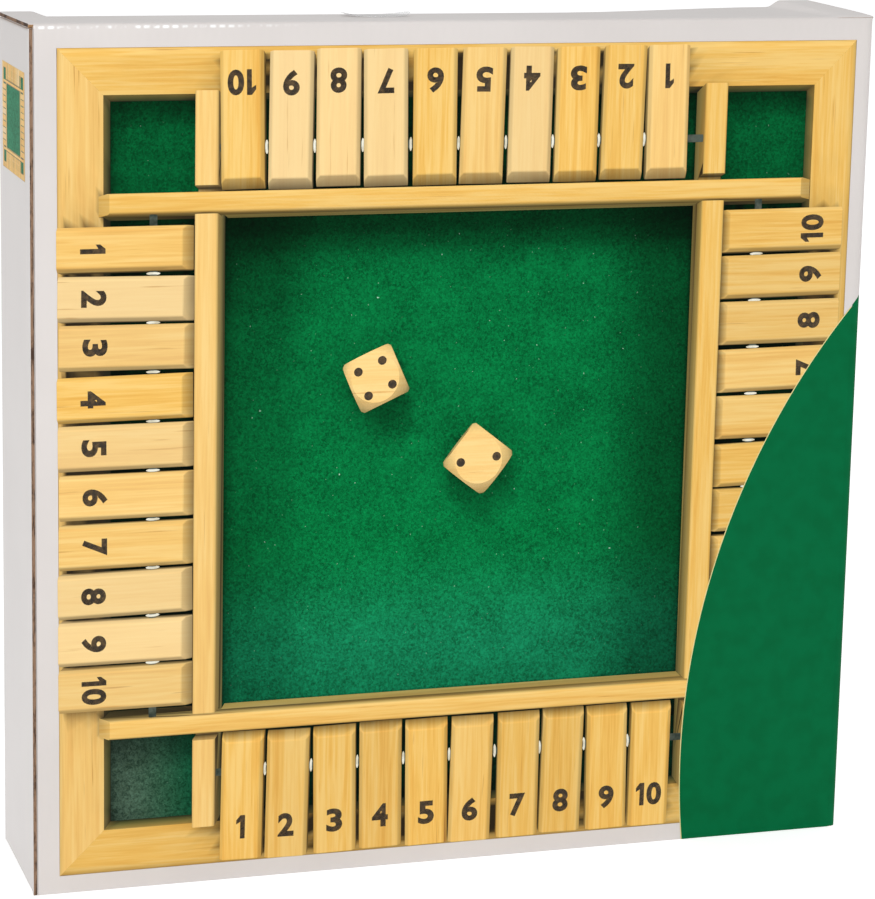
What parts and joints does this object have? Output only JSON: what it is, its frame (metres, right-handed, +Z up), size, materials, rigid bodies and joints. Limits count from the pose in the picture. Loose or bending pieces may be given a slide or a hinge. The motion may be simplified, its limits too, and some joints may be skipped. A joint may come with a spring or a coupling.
{
  "type": "shut the box game",
  "caption": "Boxed wooden number-tile board game: a corrugated carton with a hinged front, holding a four-sided tray of flip tiles on rods, a felt well and dice.",
  "frame": {"origin": "middle of the carton's footprint, on the surface that it stands on", "axes": "+X to the right along the printed front, +Y to the back, +Z up; the printed front faces -Y"},
  "size_m": [0.33, 0.0644, 0.329],
  "materials": {
    "carton_board": "satin printed board",
    "leaflet_paper": "matte",
    "frame_wood": "satin lacquer",
    "base_wood": "bare plywood",
    "tile_wood": "satin lacquer",
    "die_wood": "satin lacquer",
    "felt": "matte felt",
    "rod_steel": "bright drawn wire"
  },
  "bodies": {
    "carton": {"carton_tray": "carton_board", "rules_leaflet": "leaflet_paper"},
    "lid": {"carton_lid": "carton_board"},
    "lid_flap": {"carton_lid_flap": "carton_board"},
    "game": {"base_board": "base_wood", "felt_sheet": "felt", "frame_rail_bottom": "frame_wood", "frame_rail_right": "frame_wood", "frame_rail_top": "frame_wood", "frame_rail_left": "frame_wood", "cross_rail_upper": "frame_wood", "cross_rail_lower": "frame_wood", "side_rail_left": "frame_wood", "side_rail_right": "frame_wood", "rod_bottom": "rod_steel", "rod_right": "rod_steel", "rod_top": "rod_steel", "rod_left": "rod_steel"},
    "tile_bottom_1": {"tile_bottom_1": "tile_wood"},
    "tile_bottom_2": {"tile_bottom_2": "tile_wood"},
    "tile_bottom_3": {"tile_bottom_3": "tile_wood"},
    "tile_bottom_4": {"tile_bottom_4": "tile_wood"},
    "tile_bottom_5": {"tile_bottom_5": "tile_wood"},
    "tile_bottom_6": {"tile_bottom_6": "tile_wood"},
    "tile_bottom_7": {"tile_bottom_7": "tile_wood"},
    "tile_bottom_8": {"tile_bottom_8": "tile_wood"},
    "tile_bottom_9": {"tile_bottom_9": "tile_wood"},
    "tile_bottom_10": {"tile_bottom_10": "tile_wood"},
    "tile_right_1": {"tile_right_1": "tile_wood"},
    "tile_right_2": {"tile_right_2": "tile_wood"},
    "tile_right_3": {"tile_right_3": "tile_wood"},
    "tile_right_4": {"tile_right_4": "tile_wood"},
    "tile_right_5": {"tile_right_5": "tile_wood"},
    "tile_right_6": {"tile_right_6": "tile_wood"},
    "tile_right_7": {"tile_right_7": "tile_wood"},
    "tile_right_8": {"tile_right_8": "tile_wood"},
    "tile_right_9": {"tile_right_9": "tile_wood"},
    "tile_right_10": {"tile_right_10": "tile_wood"},
    "tile_top_1": {"tile_top_1": "tile_wood"},
    "tile_top_2": {"tile_top_2": "tile_wood"},
    "tile_top_3": {"tile_top_3": "tile_wood"},
    "tile_top_4": {"tile_top_4": "tile_wood"},
    "tile_top_5": {"tile_top_5": "tile_wood"},
    "tile_top_6": {"tile_top_6": "tile_wood"},
    "tile_top_7": {"tile_top_7": "tile_wood"},
    "tile_top_8": {"tile_top_8": "tile_wood"},
    "tile_top_9": {"tile_top_9": "tile_wood"},
    "tile_top_10": {"tile_top_10": "tile_wood"},
    "tile_left_1": {"tile_left_1": "tile_wood"},
    "tile_left_2": {"tile_left_2": "tile_wood"},
    "tile_left_3": {"tile_left_3": "tile_wood"},
    "tile_left_4": {"tile_left_4": "tile_wood"},
    "tile_left_5": {"tile_left_5": "tile_wood"},
    "tile_left_6": {"tile_left_6": "tile_wood"},
    "tile_left_7": {"tile_left_7": "tile_wood"},
    "tile_left_8": {"tile_left_8": "tile_wood"},
    "tile_left_9": {"tile_left_9": "tile_wood"},
    "tile_left_10": {"tile_left_10": "tile_wood"},
    "die_a": {"die_a": "die_wood"},
    "die_b": {"die_b": "die_wood"}
  },
  "joints": [
    {"name": "lid_hinge", "type": "hinge", "parent": "carton", "child": "lid", "pos_m": [0, -0.03225, 0], "axis": [1, 0, 0], "range_deg": [0, 90]},
    {"name": "lid_flap_hinge", "type": "hinge", "parent": "lid", "child": "lid_flap", "pos_m": [0, -0.03225, 0.329], "axis": [1, 0, 0], "range_deg": [0, 90]},
    {"name": "game_lift", "type": "slide", "parent": "carton", "child": "game", "axis": [0, -1, 0], "range_m": [0, 0.03]},
    {"name": "tile_bottom_1_flip", "type": "hinge", "parent": "game", "child": "tile_bottom_1", "pos_m": [0, 0.00895, 0.0399], "axis": [-1, 0, 0], "range_deg": [0, 155]},
    {"name": "tile_bottom_2_flip", "type": "hinge", "parent": "game", "child": "tile_bottom_2", "pos_m": [0, 0.00895, 0.0399], "axis": [-1, 0, 0], "range_deg": [0, 155]},
    {"name": "tile_bottom_3_flip", "type": "hinge", "parent": "game", "child": "tile_bottom_3", "pos_m": [0, 0.00895, 0.0399], "axis": [-1, 0, 0], "range_deg": [0, 155]},
    {"name": "tile_bottom_4_flip", "type": "hinge", "parent": "game", "child": "tile_bottom_4", "pos_m": [0, 0.00895, 0.0399], "axis": [-1, 0, 0], "range_deg": [0, 155]},
    {"name": "tile_bottom_5_flip", "type": "hinge", "parent": "game", "child": "tile_bottom_5", "pos_m": [0, 0.00895, 0.0399], "axis": [-1, 0, 0], "range_deg": [0, 155]},
    {"name": "tile_bottom_6_flip", "type": "hinge", "parent": "game", "child": "tile_bottom_6", "pos_m": [0, 0.00895, 0.0399], "axis": [-1, 0, 0], "range_deg": [0, 155]},
    {"name": "tile_bottom_7_flip", "type": "hinge", "parent": "game", "child": "tile_bottom_7", "pos_m": [0, 0.00895, 0.0399], "axis": [-1, 0, 0], "range_deg": [0, 155]},
    {"name": "tile_bottom_8_flip", "type": "hinge", "parent": "game", "child": "tile_bottom_8", "pos_m": [0, 0.00895, 0.0399], "axis": [-1, 0, 0], "range_deg": [0, 155]},
    {"name": "tile_bottom_9_flip", "type": "hinge", "parent": "game", "child": "tile_bottom_9", "pos_m": [0, 0.00895, 0.0399], "axis": [-1, 0, 0], "range_deg": [0, 155]},
    {"name": "tile_bottom_10_flip", "type": "hinge", "parent": "game", "child": "tile_bottom_10", "pos_m": [0, 0.00895, 0.0399], "axis": [-1, 0, 0], "range_deg": [0, 155]},
    {"name": "tile_right_1_flip", "type": "hinge", "parent": "game", "child": "tile_right_1", "pos_m": [0.121, 0.00895, 0.1609], "axis": [0, 0, -1], "range_deg": [0, 130]},
    {"name": "tile_right_2_flip", "type": "hinge", "parent": "game", "child": "tile_right_2", "pos_m": [0.121, 0.00895, 0.1609], "axis": [0, 0, -1], "range_deg": [0, 155]},
    {"name": "tile_right_3_flip", "type": "hinge", "parent": "game", "child": "tile_right_3", "pos_m": [0.121, 0.00895, 0.1609], "axis": [0, 0, -1], "range_deg": [0, 155]},
    {"name": "tile_right_4_flip", "type": "hinge", "parent": "game", "child": "tile_right_4", "pos_m": [0.121, 0.00895, 0.1609], "axis": [0, 0, -1], "range_deg": [0, 155]},
    {"name": "tile_right_5_flip", "type": "hinge", "parent": "game", "child": "tile_right_5", "pos_m": [0.121, 0.00895, 0.1609], "axis": [0, 0, -1], "range_deg": [0, 155]},
    {"name": "tile_right_6_flip", "type": "hinge", "parent": "game", "child": "tile_right_6", "pos_m": [0.121, 0.00895, 0.1609], "axis": [0, 0, -1], "range_deg": [0, 155]},
    {"name": "tile_right_7_flip", "type": "hinge", "parent": "game", "child": "tile_right_7", "pos_m": [0.121, 0.00895, 0.1609], "axis": [0, 0, -1], "range_deg": [0, 155]},
    {"name": "tile_right_8_flip", "type": "hinge", "parent": "game", "child": "tile_right_8", "pos_m": [0.121, 0.00895, 0.1609], "axis": [0, 0, -1], "range_deg": [0, 155]},
    {"name": "tile_right_9_flip", "type": "hinge", "parent": "game", "child": "tile_right_9", "pos_m": [0.121, 0.00895, 0.1609], "axis": [0, 0, -1], "range_deg": [0, 155]},
    {"name": "tile_right_10_flip", "type": "hinge", "parent": "game", "child": "tile_right_10", "pos_m": [0.121, 0.00895, 0.1609], "axis": [0, 0, -1], "range_deg": [0, 130]},
    {"name": "tile_top_1_flip", "type": "hinge", "parent": "game", "child": "tile_top_1", "pos_m": [0, 0.00895, 0.2819], "axis": [1, 0, 0], "range_deg": [0, 155]},
    {"name": "tile_top_2_flip", "type": "hinge", "parent": "game", "child": "tile_top_2", "pos_m": [0, 0.00895, 0.2819], "axis": [1, 0, 0], "range_deg": [0, 155]},
    {"name": "tile_top_3_flip", "type": "hinge", "parent": "game", "child": "tile_top_3", "pos_m": [0, 0.00895, 0.2819], "axis": [1, 0, 0], "range_deg": [0, 155]},
    {"name": "tile_top_4_flip", "type": "hinge", "parent": "game", "child": "tile_top_4", "pos_m": [0, 0.00895, 0.2819], "axis": [1, 0, 0], "range_deg": [0, 155]},
    {"name": "tile_top_5_flip", "type": "hinge", "parent": "game", "child": "tile_top_5", "pos_m": [0, 0.00895, 0.2819], "axis": [1, 0, 0], "range_deg": [0, 155]},
    {"name": "tile_top_6_flip", "type": "hinge", "parent": "game", "child": "tile_top_6", "pos_m": [0, 0.00895, 0.2819], "axis": [1, 0, 0], "range_deg": [0, 155]},
    {"name": "tile_top_7_flip", "type": "hinge", "parent": "game", "child": "tile_top_7", "pos_m": [0, 0.00895, 0.2819], "axis": [1, 0, 0], "range_deg": [0, 155]},
    {"name": "tile_top_8_flip", "type": "hinge", "parent": "game", "child": "tile_top_8", "pos_m": [0, 0.00895, 0.2819], "axis": [1, 0, 0], "range_deg": [0, 155]},
    {"name": "tile_top_9_flip", "type": "hinge", "parent": "game", "child": "tile_top_9", "pos_m": [0, 0.00895, 0.2819], "axis": [1, 0, 0], "range_deg": [0, 155]},
    {"name": "tile_top_10_flip", "type": "hinge", "parent": "game", "child": "tile_top_10", "pos_m": [0, 0.00895, 0.2819], "axis": [1, 0, 0], "range_deg": [0, 155]},
    {"name": "tile_left_1_flip", "type": "hinge", "parent": "game", "child": "tile_left_1", "pos_m": [-0.121, 0.00895, 0.1609], "axis": [0, 0, 1], "range_deg": [0, 130]},
    {"name": "tile_left_2_flip", "type": "hinge", "parent": "game", "child": "tile_left_2", "pos_m": [-0.121, 0.00895, 0.1609], "axis": [0, 0, 1], "range_deg": [0, 155]},
    {"name": "tile_left_3_flip", "type": "hinge", "parent": "game", "child": "tile_left_3", "pos_m": [-0.121, 0.00895, 0.1609], "axis": [0, 0, 1], "range_deg": [0, 155]},
    {"name": "tile_left_4_flip", "type": "hinge", "parent": "game", "child": "tile_left_4", "pos_m": [-0.121, 0.00895, 0.1609], "axis": [0, 0, 1], "range_deg": [0, 155]},
    {"name": "tile_left_5_flip", "type": "hinge", "parent": "game", "child": "tile_left_5", "pos_m": [-0.121, 0.00895, 0.1609], "axis": [0, 0, 1], "range_deg": [0, 155]},
    {"name": "tile_left_6_flip", "type": "hinge", "parent": "game", "child": "tile_left_6", "pos_m": [-0.121, 0.00895, 0.1609], "axis": [0, 0, 1], "range_deg": [0, 155]},
    {"name": "tile_left_7_flip", "type": "hinge", "parent": "game", "child": "tile_left_7", "pos_m": [-0.121, 0.00895, 0.1609], "axis": [0, 0, 1], "range_deg": [0, 155]},
    {"name": "tile_left_8_flip", "type": "hinge", "parent": "game", "child": "tile_left_8", "pos_m": [-0.121, 0.00895, 0.1609], "axis": [0, 0, 1], "range_deg": [0, 155]},
    {"name": "tile_left_9_flip", "type": "hinge", "parent": "game", "child": "tile_left_9", "pos_m": [-0.121, 0.00895, 0.1609], "axis": [0, 0, 1], "range_deg": [0, 155]},
    {"name": "tile_left_10_flip", "type": "hinge", "parent": "game", "child": "tile_left_10", "pos_m": [-0.121, 0.00895, 0.1609], "axis": [0, 0, 1], "range_deg": [0, 130]},
    {"name": "die_a_lift", "type": "slide", "parent": "game", "child": "die_a", "axis": [0, -1, 0], "range_m": [0, 0.03]},
    {"name": "die_b_lift", "type": "slide", "parent": "game", "child": "die_b", "axis": [0, -1, 0], "range_m": [0, 0.03]}
  ]
}
